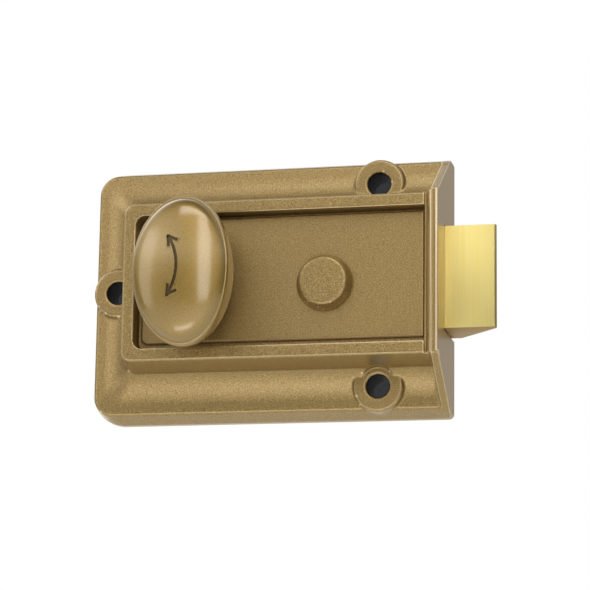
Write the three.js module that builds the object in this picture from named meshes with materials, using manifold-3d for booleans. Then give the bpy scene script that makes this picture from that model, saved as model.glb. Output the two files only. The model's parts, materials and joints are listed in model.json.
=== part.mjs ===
// Rim night latch: a surface-mounted spring latch for a hinged door.
// Millimetres. +X is the way the bolt throws, +Y points to the door, the room side faces -Y, +Z is up.
// The origin is the centre of the mounting face, the plane that lies on the door.

import * as THREE from 'three';
import { mergeVertices } from 'three/addons/utils/BufferGeometryUtils.js';
import Module from 'manifold-3d';

const wasm = await Module();
wasm.setup();

// ---------------------------------------------------------------- driving dimensions

const GAP = 0.3; // running clearance between neighbouring pieces
const WIDTH = 90; // case, along the throw
const HEIGHT = 64;
const FOREND_X = WIDTH / 2; // outer face of the forend
const BACKSET = 60; // forend face to the spindle axis
const THROW = 12.5; // travel of the bolt
const KNOB_TURN = 60; // degrees from rest to bolt withdrawn
const SNIB_TRAVEL = 1.4;

// Depths from the door, as positive numbers; a point at depth d has y = -d.
const FLANGE_EDGE = 2.5; // square part of the flange's edge
const FLANGE = 7.9; // face of the flange
const COVE = 3.1; // height of the concave sweep above the flange
const LUG = 9.8; // faces of the screw lugs
const CEILING = 15.4; // inside of the case's front wall
const RECESS = 16.6; // floor of the recess
const PLATE_FRONT = 17.8; // front of the snib plate
const PLATE = 0.9; // thickness of the snib plate
const FRAME = 21.2; // front of the raised frame
const LIP = 25; // front of the forend's lip
const END_RADIUS = 1.3; // upright corners of the case at the forend

const SPINDLE_X = FOREND_X - BACKSET;
const LUGS = [[28, 25], [28, -25], [-37.5, 0]]; // axes of the screw lugs
const LUG_FACE_RADIUS = 5.75;
const SCREW_HOLE_RADIUS = 2.75;
const SCREW_HEAD_RADIUS = 4.65; // room for a screw's head

const FRAME_LEFT = -33;
const FRAME_HALF = 19.5; // half height of the raised frame
const RECESS_LEFT = -30;
const RECESS_RIGHT = 41.2;
const RECESS_HALF = 16.5;

const CAVITY_LEFT = -31;
const CAVITY_RIGHT = 41;
const CAVITY_HALF = 17.8;
const SEAT_DEPTH = 1.8; // pocket that takes the back plate
const SEAT_LEFT = -33.4;
const SEAT_RIGHT = 41.3;
const SEAT_HALF = 19.8;
const BACK_PLATE = 1.5;
const PLATE_SCREWS = [[-28, 16], [-28, -16], [36, 15.8], [36, -15.8]];
const BOSS_RADIUS = 2.3;
const FOLLOWER_RADIUS = 5.6;

const BOLT_FRONT = 15; // depth of the bolt's flat face
const BOLT_TIP_BACK = 13.2; // where the tip's flat ends and the bevel starts
const BOLT_BACK = 2.3;
const BOLT_HALF = 12.45; // half height of the bolt
const BOLT_TIP_X = 57.3;
const BOLT_REAR_X = 33;
const BOLT_PLAY = 0.35; // round the bolt in the forend's window
const RIVET_HOLE_RADIUS = 1.8;
const TAIL_RIVETS = [['bolt_tail_rivet_upper', 6.4], ['bolt_tail_rivet_lower', -6.4]];
const TAIL_RIVET_X = 37.5;
const TAIL_FRONT = 6.8; // depth of the tail plate's front face
const TAIL_BACK = 4.8;
const TAIL_EDGE_Z = 9; // upper edge of the tail, which has the snib's notches
const LIMB_IN = 6.8; // the tail's limbs, from the axis
const LIMB_OUT = 13.4;

const SPRING_DEPTH = 11; // axis of the bolt spring
const SPRING_RADIUS = 2.5;
const SPRING_WIRE = 0.4;
const SPRING_TURNS = 11;
const ABUTMENT_X = -5; // upright of the spring's bracket
const ABUTMENT_RIVETS = [['abutment_rivet_upper', 5.5], ['abutment_rivet_lower', -5.5]];
const ABUTMENT_RIVET_X = 1.5;

const POST_RADIUS = 1.8;
const ARM_HALF_WIDTH = 2;
const POST_Z = THROW / (2 * Math.tan(rad(KNOB_TURN / 2)));
const POST_X = SPINDLE_X + POST_Z * Math.tan(rad(KNOB_TURN / 2))
  - (POST_RADIUS + ARM_HALF_WIDTH + GAP) / Math.cos(rad(KNOB_TURN / 2));

const BUTTON_X = 16.5;
const BUTTON_Z = -1.1;
const STUD_RADIUS = 1.5;
const CATCH_FRONT = 15.1;
const CATCH_BACK = 14.3;
const CATCH_LEFT = 13.6;
const CATCH_RIGHT = 19.4;
const BLOCK_HALF_WIDTH = 1.2; // of the snib catch's blocking lug
const CLICK_Z = -6.2; // scallop that the leaf spring rests in
const LEAF_SCREW = [8.5, -8.5];

const KNOB_HALF_WIDTH = 11.8;
const KNOB_HALF_HEIGHT = 18.3;
const KNOB_RIM = 31.2; // depth of the knob's widest outline
const KNOB_FRONT = 38;
const NECK_RADIUS = 6;
const GRUB_SCREW_DEPTH = 20;
const SPINDLE_RADIUS = 3.5;
const SPINDLE_SQUARE = 5.4;

// ---------------------------------------------------------------- materials

function finish(color, roughness, metalness) {
  return new THREE.MeshStandardMaterial({ color, roughness, metalness });
}

const MATERIALS = {
  bronze: () => finish(0x8f7646, 0.45, 0.7),
  glossBronze: () => finish(0x957a45, 0.25, 0.75),
  brass: () => finish(0xcfae57, 0.32, 1),
  steel: () => finish(0xa9adb0, 0.4, 1),
  springSteel: () => finish(0x8b8f94, 0.3, 1),
};

// ---------------------------------------------------------------- solids

function rad(degrees) {
  return degrees * Math.PI / 180;
}

function signedVolume(positions, triangles) {
  let sum = 0;
  const corner = (i) => new THREE.Vector3().fromArray(positions, triangles[i] * 3);
  for (let i = 0; i < triangles.length; i += 3) {
    sum += corner(i).dot(corner(i + 1).cross(corner(i + 2)));
  }
  return sum;
}

// Turns a closed geometry into a solid, with shared corners merged and faces turned outwards.
function toSolid(geometry) {
  geometry.deleteAttribute('normal');
  geometry.deleteAttribute('uv');
  const merged = mergeVertices(geometry, 1e-4);
  const positions = new Float32Array(merged.attributes.position.array);
  const triangles = [];
  const index = merged.index.array;
  for (let i = 0; i < index.length; i += 3) {
    const [a, b, c] = [index[i], index[i + 1], index[i + 2]];
    if (a !== b && b !== c && c !== a) triangles.push(a, b, c);
  }
  if (signedVolume(positions, triangles) < 0) triangles.reverse();
  const triVerts = new Uint32Array(triangles);
  return new wasm.Manifold(new wasm.Mesh({ numProp: 3, vertProperties: positions, triVerts }));
}

function toGeometry(solid) {
  const mesh = solid.getMesh();
  const geometry = new THREE.BufferGeometry();
  geometry.setAttribute('position', new THREE.BufferAttribute(new Float32Array(mesh.vertProperties), 3));
  geometry.setIndex(new THREE.BufferAttribute(new Uint32Array(mesh.triVerts), 1));
  geometry.computeVertexNormals();
  return geometry;
}

const join = (...solids) => solids.reduce((whole, solid) => whole.add(solid));
const cut = (whole, ...tools) => tools.reduce((rest, tool) => rest.subtract(tool), whole);

// A slab with its outline in X and Z, between two depths.
function slab(outline, front, back, curveSegments = 8) {
  const settings = { depth: front - back, bevelEnabled: false, curveSegments };
  const geometry = new THREE.ExtrudeGeometry(outline, settings);
  geometry.rotateX(Math.PI / 2);
  geometry.translate(0, -back, 0);
  return toSolid(geometry);
}

// A slab with its outline in X and Y, between two heights.
function layer(outline, low, high) {
  const geometry = new THREE.ExtrudeGeometry(outline, { depth: high - low, bevelEnabled: false });
  geometry.translate(0, 0, low);
  return toSolid(geometry);
}

function block(x0, x1, front, back, z0, z1) {
  const geometry = new THREE.BoxGeometry(x1 - x0, front - back, z1 - z0);
  geometry.translate((x0 + x1) / 2, -(front + back) / 2, (z0 + z1) / 2);
  return toSolid(geometry);
}

// A round bar square to the door.
function bar(radius, front, back, x, z, sides = 24) {
  const geometry = new THREE.CylinderGeometry(radius, radius, front - back, sides);
  geometry.translate(x, -(front + back) / 2, z);
  return toSolid(geometry);
}

// A round bar along the throw.
function rod(radius, x0, x1, depth, z, sides = 20) {
  const geometry = new THREE.CylinderGeometry(radius, radius, x1 - x0, sides);
  geometry.rotateZ(Math.PI / 2);
  geometry.translate((x0 + x1) / 2, -depth, z);
  return toSolid(geometry);
}

// A turned piece square to the door; the closed profile lists [radius, depth].
function turned(profile, x, z, sides = 28) {
  const points = profile.map(([radius, depth]) => new THREE.Vector2(radius, -depth));
  const geometry = new THREE.LatheGeometry([...points, points[0]], sides);
  geometry.translate(x, 0, z);
  return toSolid(geometry);
}

function polygon(points) {
  return new THREE.Shape(points.map(([a, b]) => new THREE.Vector2(a, b)));
}

function roundedRectangle(x0, x1, z0, z1, leftRadius, rightRadius = leftRadius) {
  const shape = new THREE.Shape();
  shape.moveTo(x0 + leftRadius, z0);
  shape.absarc(x1 - rightRadius, z0 + rightRadius, rightRadius, -Math.PI / 2, 0);
  shape.absarc(x1 - rightRadius, z1 - rightRadius, rightRadius, 0, Math.PI / 2);
  shape.absarc(x0 + leftRadius, z1 - leftRadius, leftRadius, Math.PI / 2, Math.PI);
  shape.absarc(x0 + leftRadius, z0 + leftRadius, leftRadius, Math.PI, Math.PI * 1.5);
  return shape;
}

// A slot with round ends, centred on the line from (x, z0) to (x, z1).
function slot(radius, x, z0, z1) {
  return roundedRectangle(x - radius, x + radius, z0 - radius, z1 + radius, radius);
}

function insideSpindleSquare(front, back) {
  const half = SPINDLE_SQUARE / 2 + GAP;
  return block(SPINDLE_X - half, SPINDLE_X + half, front, back, -half, half);
}

// A closed skin over rings of points; each ring is a list of [x, y, z] of the same length.
function loft(rings) {
  const count = rings[0].length;
  const positions = rings.flat(2);
  const triangles = [];
  for (let ring = 0; ring < rings.length - 1; ring++) {
    for (let i = 0; i < count; i++) {
      const here = ring * count + i;
      const next = ring * count + (i + 1) % count;
      triangles.push(here, next, next + count, here, next + count, here + count);
    }
  }
  const capOf = (ring) => {
    const outline = ring.map(([x, , z]) => new THREE.Vector2(x, z));
    return THREE.ShapeUtils.triangulateShape(outline, []);
  };
  const last = (rings.length - 1) * count;
  for (const [a, b, c] of capOf(rings[0])) triangles.push(c, b, a);
  for (const [a, b, c] of capOf(rings.at(-1))) triangles.push(a + last, b + last, c + last);
  const geometry = new THREE.BufferGeometry();
  geometry.setAttribute('position', new THREE.Float32BufferAttribute(positions, 3));
  geometry.setIndex(triangles);
  return toSolid(geometry);
}

const group = new THREE.Group();

function addPiece(name, solid, material) {
  const mesh = new THREE.Mesh(toGeometry(solid), material);
  mesh.name = name;
  group.add(mesh);
}

// ---------------------------------------------------------------- case

// One outline of the case at a depth, set in from the flange's edge on its left, upper and lower sides.
function caseRing(inset, depth, radius) {
  const leftShare = (FRAME_LEFT + WIDTH / 2) / (HEIGHT / 2 - FRAME_HALF);
  const left = -WIDTH / 2 + inset * leftShare;
  const half = HEIGHT / 2 - inset;
  const ring = [];
  const addCorner = (x, z, start, cornerRadius, steps) => {
    for (let step = 0; step <= steps; step++) {
      const angle = start + (Math.PI / 2) * (step / steps);
      ring.push([x + cornerRadius * Math.cos(angle), -depth, z + cornerRadius * Math.sin(angle)]);
    }
  };
  addCorner(left + radius, half - radius, Math.PI / 2, radius, 6);
  addCorner(left + radius, -half + radius, Math.PI, radius, 6);
  addCorner(FOREND_X - END_RADIUS, -half + END_RADIUS, -Math.PI / 2, END_RADIUS, 2);
  addCorner(FOREND_X - END_RADIUS, half - END_RADIUS, 0, END_RADIUS, 2);
  return ring;
}

function caseBody() {
  const coveIn = HEIGHT / 2 - 26.8; // where the sweep leaves the flange
  const coveOut = HEIGHT / 2 - 20.8; // where it meets the frame's wall
  const frameInset = HEIGHT / 2 - FRAME_HALF;
  const rings = [
    caseRing(0, 0, 7.8),
    caseRing(0, FLANGE_EDGE, 7.8),
    caseRing(1.5, FLANGE - 0.4, 4.8),
    caseRing(1.9, FLANGE, 4.4),
  ];
  const sweepSteps = 5;
  for (let step = 0; step <= sweepSteps; step++) {
    const angle = (Math.PI / 2) * (step / sweepSteps);
    const inset = coveIn + (coveOut - coveIn) * Math.sin(angle);
    rings.push(caseRing(inset, FLANGE + COVE * (1 - Math.cos(angle)), 3.4 - 0.6 * step / sweepSteps));
  }
  rings.push(caseRing(frameInset, FRAME - GAP, 2.6));
  rings.push(caseRing(frameInset + GAP, FRAME, 2.4));
  return loft(rings);
}

// The end plate, a trapezoid seen from the bolt's side, and the moulded lip on its front edge.
function forend() {
  const plateThickness = 2.4;
  const slope = [
    [HEIGHT / 2, 0],
    [HEIGHT / 2, FLANGE_EDGE],
    [HEIGHT / 2 - 1.1, FLANGE - 1.3],
    [HEIGHT / 2 - 1.8, FLANGE],
    [HEIGHT / 2 - 3, FLANGE + 1.6],
    [FRAME_HALF + 1, LIP - 2.4],
    [FRAME_HALF + 0.4, LIP - 1.5],
  ];
  const side = polygon([...slope, ...slope.map(([z, depth]) => [-z, depth]).reverse()]);
  const geometry = new THREE.ExtrudeGeometry(side, { depth: plateThickness, bevelEnabled: false });
  geometry.applyMatrix4(new THREE.Matrix4().makeBasis(
    new THREE.Vector3(0, 0, 1),
    new THREE.Vector3(0, -1, 0),
    new THREE.Vector3(1, 0, 0),
  ));
  geometry.translate(FOREND_X - plateThickness, 0, 0);
  const ends = roundedRectangle(0, FOREND_X, -HEIGHT / 2, HEIGHT / 2, 1, END_RADIUS);
  const plate = toSolid(geometry).intersect(slab(ends, LIP + 1, 0, 2));
  const lip = layer(polygon([
    [RECESS_RIGHT, -CEILING],
    [FOREND_X, -CEILING],
    [FOREND_X, -LIP + 0.5],
    [FOREND_X - 0.4, -LIP],
    [FOREND_X - 0.9, -LIP],
    [FOREND_X - 1.2, -LIP + 0.7],
    [FOREND_X - 1.8, -LIP + 0.8],
    [FOREND_X - 2.4, -LIP + 1.7],
    [RECESS_RIGHT + 0.6, -FRAME - 0.8],
    [RECESS_RIGHT + 0.1, -FRAME - 0.1],
  ]), -FRAME_HALF, FRAME_HALF);
  return join(plate, lip);
}

function screwLug(x, z) {
  return turned([
    [0, 0],
    [6.4, 0],
    [6.2, LUG - 0.9],
    [6, LUG - 0.3],
    [LUG_FACE_RADIUS, LUG],
    [0, LUG],
  ], x, z);
}

function screwHole(x, z) {
  const leadIn = turned([
    [0, LUG - 0.4],
    [SCREW_HOLE_RADIUS, LUG - 0.4],
    [SCREW_HOLE_RADIUS + 0.5, LUG + 0.1],
    [0, LUG + 0.1],
  ], x, z);
  const shank = bar(SCREW_HOLE_RADIUS, LUG + 1, -1, x, z);
  const head = bar(SCREW_HEAD_RADIUS, LUG + 3.2, LUG, x, z);
  return join(shank, leadIn, head);
}

function cavity() {
  const outline = roundedRectangle(CAVITY_LEFT, CAVITY_RIGHT, -CAVITY_HALF, CAVITY_HALF, 2);
  return slab(outline, CEILING, -1, 3);
}

function backPlateSeat() {
  const outline = roundedRectangle(SEAT_LEFT, SEAT_RIGHT, -SEAT_HALF, SEAT_HALF, 1.5);
  return slab(outline, SEAT_DEPTH, -1, 3);
}

function recess() {
  const outline = roundedRectangle(RECESS_LEFT, RECESS_RIGHT, -RECESS_HALF, RECESS_HALF, 2.3, 0.3);
  return slab(outline, FRAME + 1, RECESS, 6);
}

// The bolt's opening in the forend, which the door closes at the back.
function boltWindow() {
  const half = BOLT_HALF + BOLT_PLAY;
  return block(CAVITY_RIGHT - 1, FOREND_X + 1, BOLT_FRONT + BOLT_PLAY, -1, -half, half);
}

function studSlot() {
  const outline = slot(STUD_RADIUS + GAP, BUTTON_X, BUTTON_Z - SNIB_TRAVEL, BUTTON_Z);
  return slab(outline, RECESS + 1, CEILING - 1, 5);
}

function caseCover() {
  const shell = join(caseBody(), forend(), ...LUGS.map(([x, z]) => screwLug(x, z)));
  const bushHole = bar(4.9, RECESS + 1, CEILING - 1, SPINDLE_X, 0, 32);
  const screwHoles = LUGS.map(([x, z]) => screwHole(x, z));
  const hollow = cut(
    shell, cavity(), backPlateSeat(), recess(), boltWindow(), bushHole, studSlot(), ...screwHoles,
  );
  const bosses = PLATE_SCREWS.map(([x, z]) => bar(BOSS_RADIUS, CEILING + 0.5, SEAT_DEPTH, x, z, 20));
  const springBoss = bar(2.2, CEILING + 0.5, 12.5, ...LEAF_SCREW, 20);
  const pilots = PLATE_SCREWS.map(([x, z]) => bar(1.4, 8.6, -1, x, z, 16));
  const springPilot = bar(1.1, 15, 12, ...LEAF_SCREW, 16);
  return cut(join(hollow, ...bosses, springBoss), ...pilots, springPilot);
}

// ---------------------------------------------------------------- back plate

function backPlate() {
  const outline = roundedRectangle(
    SEAT_LEFT + GAP, SEAT_RIGHT - GAP, -SEAT_HALF + GAP, SEAT_HALF - GAP, 1.2,
  );
  const screwHoles = PLATE_SCREWS.map(([x, z]) => turned([
    [0, -1],
    [2.7, -1],
    [2.7, 0.3],
    [1.6, 1.4],
    [1.6, 2],
    [0, 2],
  ], x, z, 20));
  const rivetHoles = ABUTMENT_RIVETS.map(([, z]) => bar(1.7, 2, -1, ABUTMENT_RIVET_X, z, 16));
  const followerHole = bar(FOLLOWER_RADIUS + 0.4, 2, -1, SPINDLE_X, 0, 32);
  return cut(slab(outline, BACK_PLATE, 0, 3), followerHole, ...screwHoles, ...rivetHoles);
}

function plateScrew(x, z) {
  const shank = turned([[0, 0.2], [2.3, 0.2], [1.2, 1.3], [1.1, 8.2], [0, 8.2]], x, z, 20);
  return cut(shank, block(x - 3, x + 3, 0.7, -1, z - 0.3, z + 0.3));
}

// ---------------------------------------------------------------- bolt, tail and spring

function latchBolt() {
  const rebateX = 41.5;
  const rebate = TAIL_FRONT + GAP;
  const bevelEndX = 47.15;
  const side = polygon([
    [BOLT_REAR_X, -BOLT_FRONT],
    [BOLT_TIP_X - 0.6, -BOLT_FRONT],
    [BOLT_TIP_X - 0.15, -BOLT_FRONT + 0.2],
    [BOLT_TIP_X, -BOLT_FRONT + 0.7],
    [BOLT_TIP_X, -BOLT_TIP_BACK],
    [bevelEndX, -BOLT_BACK],
    [rebateX, -BOLT_BACK],
    [rebateX, -rebate],
    [BOLT_REAR_X, -rebate],
  ]);
  const rodBore = rod(1.9, BOLT_REAR_X - 1, 45.5, SPRING_DEPTH, 0, 20);
  const rivetBores = TAIL_RIVETS.map(([, z]) => bar(RIVET_HOLE_RADIUS, 12.4, 0, TAIL_RIVET_X, z, 16));
  return cut(layer(side, -BOLT_HALF, BOLT_HALF), rodBore, ...rivetBores);
}

function boltTail() {
  const frontX = 41.2;
  const webX = 13;
  const endX = POST_X - POST_RADIUS - 1.4;
  const lowerEdgeZ = -10.2;
  const notchHalf = BLOCK_HALF_WIDTH + 0.5;
  const notchFloor = TAIL_EDGE_Z - SNIB_TRAVEL - 0.2;
  const notch = (x) => [
    [x + notchHalf, TAIL_EDGE_Z],
    [x + notchHalf, notchFloor],
    [x - notchHalf, notchFloor],
    [x - notchHalf, TAIL_EDGE_Z],
  ];
  const outline = polygon([
    [frontX, lowerEdgeZ],
    [frontX, TAIL_EDGE_Z],
    ...notch(BUTTON_X + 0.5 + THROW),
    ...notch(BUTTON_X + 0.5),
    [webX, TAIL_EDGE_Z],
    [webX, LIMB_OUT],
    [endX, LIMB_OUT],
    [endX, LIMB_IN],
    [webX, LIMB_IN],
    [webX, -LIMB_IN],
    [endX, -LIMB_IN],
    [endX, -LIMB_OUT],
    [webX, -LIMB_OUT],
    [webX + 4, lowerEdgeZ],
  ]);
  const rivetHoles = TAIL_RIVETS.map(([, z]) => bar(RIVET_HOLE_RADIUS, 8, 4, TAIL_RIVET_X, z, 16));
  const postHole = bar(1.5, 8, 4, POST_X, POST_Z, 16);
  return cut(slab(outline, TAIL_FRONT, TAIL_BACK), ...rivetHoles, postHole);
}

function tailRivet(z) {
  return turned([
    [0, 3.5],
    [1.3, 3.6],
    [2.3, 4],
    [2.6, TAIL_BACK - GAP],
    [1.5, TAIL_BACK - GAP],
    [1.5, 12],
    [0, 12],
  ], TAIL_RIVET_X, z, 20);
}

function drivePost() {
  return turned([
    [0, 4.4],
    [1.2, 4.4],
    [1.2, TAIL_FRONT + GAP],
    [POST_RADIUS, TAIL_FRONT + GAP],
    [POST_RADIUS, 11.9],
    [POST_RADIUS - 0.3, 12.2],
    [0, 12.2],
  ], POST_X, POST_Z, 24);
}

class SpringWire extends THREE.Curve {
  constructor(start, length) {
    super();
    this.start = start;
    this.length = length;
  }

  getPoint(t, target = new THREE.Vector3()) {
    const angle = 2 * Math.PI * SPRING_TURNS * t;
    const y = -SPRING_DEPTH + SPRING_RADIUS * Math.sin(angle);
    return target.set(this.start + this.length * t, y, SPRING_RADIUS * Math.cos(angle));
  }
}

function boltSpring() {
  const start = ABUTMENT_X + 3.1 + SPRING_WIRE;
  const length = BOLT_REAR_X - GAP - SPRING_WIRE - start;
  const section = new THREE.Shape().absarc(0, 0, SPRING_WIRE, 0, 2 * Math.PI);
  const settings = {
    steps: SPRING_TURNS * 14,
    curveSegments: 3,
    extrudePath: new SpringWire(start, length),
  };
  return toSolid(new THREE.ExtrudeGeometry(section, settings));
}

function springGuideRod() {
  return join(
    rod(1.2, ABUTMENT_X - 1.2, ABUTMENT_X + 2, SPRING_DEPTH, 0),
    rod(2.8, ABUTMENT_X + 1.8, ABUTMENT_X + 2.8, SPRING_DEPTH, 0),
    rod(1.5, ABUTMENT_X + 2.7, 31, SPRING_DEPTH, 0),
  );
}

// An angle bracket: a foot on the back plate, and an upright that is narrower above the foot.
function springAbutment() {
  const foot = BACK_PLATE + GAP;
  const footTop = foot + 1.5;
  const uprightTop = 14.2;
  const halfWidth = 8.2;
  const uprightHalfWidth = 5.2;
  const side = polygon([
    [ABUTMENT_X, -uprightTop],
    [ABUTMENT_X + 1.5, -uprightTop],
    [ABUTMENT_X + 1.5, -footTop],
    [ABUTMENT_X + 9.5, -footTop],
    [ABUTMENT_X + 9.5, -foot],
    [ABUTMENT_X, -foot],
  ]);
  const rodHole = rod(1.5, ABUTMENT_X - 1, ABUTMENT_X + 3, SPRING_DEPTH, 0);
  const rivetHoles = ABUTMENT_RIVETS.map(([, z]) => bar(1.7, 5, 0, ABUTMENT_RIVET_X, z, 16));
  const shoulders = [[uprightHalfWidth, 9], [-9, -uprightHalfWidth]].map(([z0, z1]) => (
    block(ABUTMENT_X - 1, ABUTMENT_X + 1.8, 15, 4.2, z0, z1)
  ));
  return cut(layer(side, -halfWidth, halfWidth), rodHole, ...rivetHoles, ...shoulders);
}

function abutmentRivet(z) {
  return turned([
    [0, 0.2],
    [1.4, 0.2],
    [1.4, 3.6],
    [2.3, 3.6],
    [2, 4.1],
    [0, 4.3],
  ], ABUTMENT_RIVET_X, z, 20);
}

// ---------------------------------------------------------------- knob, spindle and cam

// An oval outline of the knob, drawn in by the share and blended towards the round neck.
function knobRing(share, depth, neckShare = 0) {
  const count = 40;
  const ring = [];
  for (let i = 0; i < count; i++) {
    const angle = 2 * Math.PI * i / count;
    const halfWidth = THREE.MathUtils.lerp(KNOB_HALF_WIDTH * share, NECK_RADIUS, neckShare);
    const halfHeight = THREE.MathUtils.lerp(KNOB_HALF_HEIGHT * share, NECK_RADIUS, neckShare);
    const y = typeof depth === 'function' ? -depth(angle) : -depth;
    ring.push([SPINDLE_X + halfWidth * Math.cos(angle), y, halfHeight * Math.sin(angle)]);
  }
  return ring;
}

function knob() {
  const neckEnd = 16.9;
  const flareStart = 21;
  const bandHeight = 0.9; // least height of the side band, at the oval's ends
  const creaseShare = 0.95;
  const creaseDepth = (angle) => KNOB_RIM + bandHeight + 2.6 * Math.cos(angle) ** 2;
  const rings = [knobRing(1, neckEnd, 1), knobRing(1, flareStart, 1)];
  const flareSteps = 6;
  for (let step = 1; step <= flareSteps; step++) {
    const angle = (Math.PI / 2) * (step / flareSteps);
    const depth = flareStart + (KNOB_RIM - flareStart - 1) * (1 - Math.cos(angle));
    rings.push(knobRing(1, depth, 1 - Math.sin(angle)));
  }
  rings.push(knobRing(1, KNOB_RIM), knobRing(creaseShare, creaseDepth));
  for (const share of [0.9, 0.8, 0.65, 0.45, 0.2]) {
    const rise = 1 - (share / creaseShare) ** 2.2;
    const domeDepth = (angle) => THREE.MathUtils.lerp(creaseDepth(angle), KNOB_FRONT, rise);
    rings.push(knobRing(share, domeDepth));
  }
  const spindleBore = bar(SPINDLE_RADIUS + GAP, 27.3, neckEnd - 1, SPINDLE_X, 0);
  const grubHole = rod(1.55, SPINDLE_X, SPINDLE_X + NECK_RADIUS + 1, GRUB_SCREW_DEPTH, 0, 16);
  return cut(loft(rings), spindleBore, grubHole);
}

function knobGrubScrew() {
  const x0 = SPINDLE_X + SPINDLE_RADIUS + 0.35;
  const x1 = SPINDLE_X + NECK_RADIUS - 0.15;
  const slotHalf = 0.25;
  const driverSlot = block(
    x1 - 0.8, x1 + 1, GRUB_SCREW_DEPTH + slotHalf, GRUB_SCREW_DEPTH - slotHalf, -2, 2,
  );
  return cut(rod(1.25, x0, x1, GRUB_SCREW_DEPTH, 0, 16), driverSlot);
}

function spindle() {
  const half = SPINDLE_SQUARE / 2;
  const round = turned([
    [0, 12.8],
    [2.9, 12.8],
    [2.9, 13.9],
    [SPINDLE_RADIUS, 13.9],
    [SPINDLE_RADIUS, 26.6],
    [SPINDLE_RADIUS - 0.4, 27],
    [0, 27],
  ], SPINDLE_X, 0);
  return join(round, block(SPINDLE_X - half, SPINDLE_X + half, 12.9, 3.4, -half, half));
}

function spindleBush() {
  return turned([
    [3.8, 13.95],
    [6.6, 13.95],
    [6.6, 15.1],
    [4.6, 15.1],
    [4.6, 16.5],
    [3.8, 16.5],
  ], SPINDLE_X, 0, 32);
}

function spindleClip() {
  const ring = turned([[3.2, 13.2], [4.9, 13.2], [4.9, 13.6], [3.2, 13.6]], SPINDLE_X, 0, 32);
  return cut(ring, block(SPINDLE_X - 1.6, SPINDLE_X + 1.6, 15, 12, 0, 6));
}

function retractorCam() {
  const lean = rad(KNOB_TURN / 2);
  const armEnd = POST_Z / Math.cos(lean) + 0.4 + ARM_HALF_WIDTH;
  const outline = roundedRectangle(-ARM_HALF_WIDTH, ARM_HALF_WIDTH, -1, armEnd, ARM_HALF_WIDTH);
  const arm = new THREE.ExtrudeGeometry(outline, { depth: 3, bevelEnabled: false, curveSegments: 6 });
  arm.rotateX(Math.PI / 2);
  arm.rotateY(lean);
  arm.translate(SPINDLE_X, -9.2, 0);
  const hub = bar(5.4, 12.4, 9, SPINDLE_X, 0, 32);
  return cut(join(hub, toSolid(arm)), insideSpindleSquare(14, 8));
}

function cylinderFollower() {
  const hub = turned([
    [0, 0.3],
    [FOLLOWER_RADIUS, 0.3],
    [FOLLOWER_RADIUS, BACK_PLATE + GAP],
    [8, BACK_PLATE + GAP],
    [8, 3.3],
    [FOLLOWER_RADIUS, 3.3],
    [FOLLOWER_RADIUS, 8.6],
    [0, 8.6],
  ], SPINDLE_X, 0, 32);
  const upright = block(SPINDLE_X - 1.3, SPINDLE_X + 1.3, 3.2, -1, -4, 4);
  const level = block(SPINDLE_X - 4, SPINDLE_X + 4, 3.2, -1, -1.3, 1.3);
  return cut(hub, insideSpindleSquare(9, 3.1), upright, level);
}

// ---------------------------------------------------------------- snib

function snibPlate() {
  const outline = roundedRectangle(-29, 40.6, -14.8, 15.85, 1.6, 0.4);
  const neckSlot = slot(NECK_RADIUS + 0.4, SPINDLE_X, 0, SNIB_TRAVEL);
  outline.holes.push(new THREE.Path(neckSlot.getPoints(10)));
  const studHole = bar(STUD_RADIUS + GAP, 19, 16, BUTTON_X, BUTTON_Z, 20);
  return cut(slab(outline, PLATE_FRONT, PLATE_FRONT - PLATE, 5), studHole);
}

function snibButton() {
  const base = PLATE_FRONT + GAP;
  const body = turned([
    [0, base],
    [6.9, base],
    [6.2, 20.5],
    [6, 20.8],
    [5.6, 21],
    [0, 21],
  ], BUTTON_X, BUTTON_Z, 48);
  return cut(body, bar(STUD_RADIUS + GAP, 19.8, 17, BUTTON_X, BUTTON_Z, 20));
}

function snibStud() {
  return bar(STUD_RADIUS, 19.5, CATCH_BACK + 0.05, BUTTON_X, BUTTON_Z, 20);
}

function snibCatch() {
  const blockX = BUTTON_X + 0.5;
  const blockBottom = TAIL_EDGE_Z + 0.35;
  const plate = block(CATCH_LEFT, CATCH_RIGHT, CATCH_FRONT, CATCH_BACK, -9, 11);
  const blocker = block(
    blockX - BLOCK_HALF_WIDTH, blockX + BLOCK_HALF_WIDTH, CATCH_FRONT, TAIL_BACK - 0.2, blockBottom, 11,
  );
  const studHole = bar(STUD_RADIUS + GAP, 16, 14, BUTTON_X, BUTTON_Z, 20);
  const scallops = [CLICK_Z, CLICK_Z + SNIB_TRAVEL].map((z) => bar(1, 16, 14, CATCH_LEFT - 0.1, z, 16));
  return cut(join(plate, blocker), studHole, ...scallops);
}

function snibLeafSpring() {
  const armRight = CATCH_LEFT - 0.5;
  const foot = block(6, armRight, 12.2, 11.7, -11, -6);
  const arm = block(armRight - 0.5, armRight, 15, 11.7, -11, -3.6);
  const bump = bar(0.6, 15, 13, armRight, CLICK_Z, 12);
  return cut(join(foot, arm, bump), bar(1.2, 13, 11, ...LEAF_SCREW, 16));
}

function snibSpringScrew() {
  const [x, z] = LEAF_SCREW;
  const screw = turned([
    [0, 10],
    [1.4, 10],
    [1.9, 10.5],
    [1.9, 11.4],
    [0.8, 11.4],
    [0.8, 14.6],
    [0, 14.6],
  ], x, z, 20);
  return cut(screw, block(x - 3, x + 3, 10.5, 9, z - 0.25, z + 0.25));
}

// ---------------------------------------------------------------- assembly

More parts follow.
